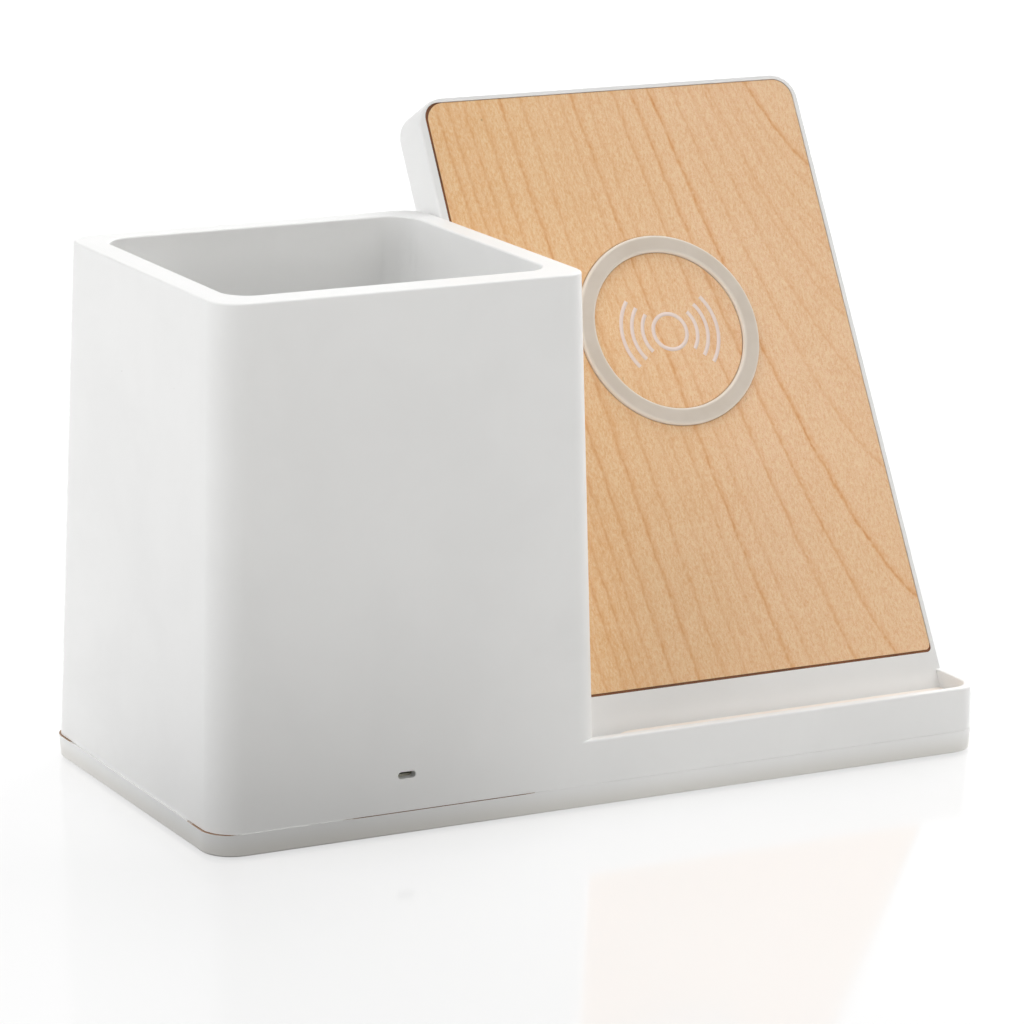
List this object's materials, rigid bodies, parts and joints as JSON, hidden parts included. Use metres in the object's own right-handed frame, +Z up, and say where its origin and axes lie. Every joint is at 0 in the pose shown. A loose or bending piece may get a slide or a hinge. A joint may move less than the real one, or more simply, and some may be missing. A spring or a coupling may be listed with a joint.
{
  "type": "desk organizer with wireless charging stand",
  "caption": "White desk organizer: a square tapered pen cup and a leaning wireless charging stand with a wood face and raised ring, on one low lipped base.",
  "frame": {"origin": "the middle of the object's outline, on the table under the rubber feet", "axes": "+Z up, +X from the pen cup to the stand along the front, -Y towards the front lip"},
  "size_m": [0.1652, 0.0864, 0.1237],
  "materials": {
    "adhesive": "dark double-sided adhesive sheet",
    "black_plastic": "matt black moulding",
    "board_green": "glass fibre board with green mask",
    "ceramic": "tan ceramic",
    "chip_black": "matt black package",
    "clear_plastic": "clear acrylic, slightly milky",
    "coil_copper": null,
    "cream_silicone": "smooth matt cream silicone",
    "ferrite": null,
    "grey_silicone": "smooth matt warm grey silicone",
    "lamp_white": "pale lamp package",
    "maple": "satin oiled maple",
    "rubber": "matt dark rubber",
    "steel": "plated steel",
    "white_plastic": "moulded matt with a fine grain",
    "wire_sleeve": "red wire insulation"
  },
  "bodies": {
    "root": {"base_tray": "white_plastic", "board_screw_front_left": "steel", "board_screw_front_right": "steel", "board_screw_rear_left": "steel", "board_screw_rear_right": "steel", "bridge_chip": "chip_black", "capacitor_1": "ceramic", "capacitor_2": "ceramic", "capacitor_3": "ceramic", "capacitor_4": "ceramic", "charging_coil": "coil_copper", "circuit_board": "board_green", "coil_carrier": "black_plastic", "coil_lead_left": "wire_sleeve", "coil_lead_right": "wire_sleeve", "control_chip": "chip_black", "ferrite_disc": "ferrite", "housing": "white_plastic", "indicator_lamp": "lamp_white", "inlet_shell": "steel", "inlet_tongue": "black_plastic", "ledge_pad": "cream_silicone", "light_guide": "clear_plastic", "panel_adhesive": "adhesive", "power_choke": "chip_black", "rubber_foot_front_left": "rubber", "rubber_foot_front_right": "rubber", "rubber_foot_rear_left": "rubber", "rubber_foot_rear_right": "rubber", "silicone_ring": "grey_silicone", "tray_screw_front_left": "steel", "tray_screw_front_right": "steel", "tray_screw_rear_left": "steel", "tray_screw_rear_right": "steel", "wood_panel": "maple"}
  },
  "joints": []
}
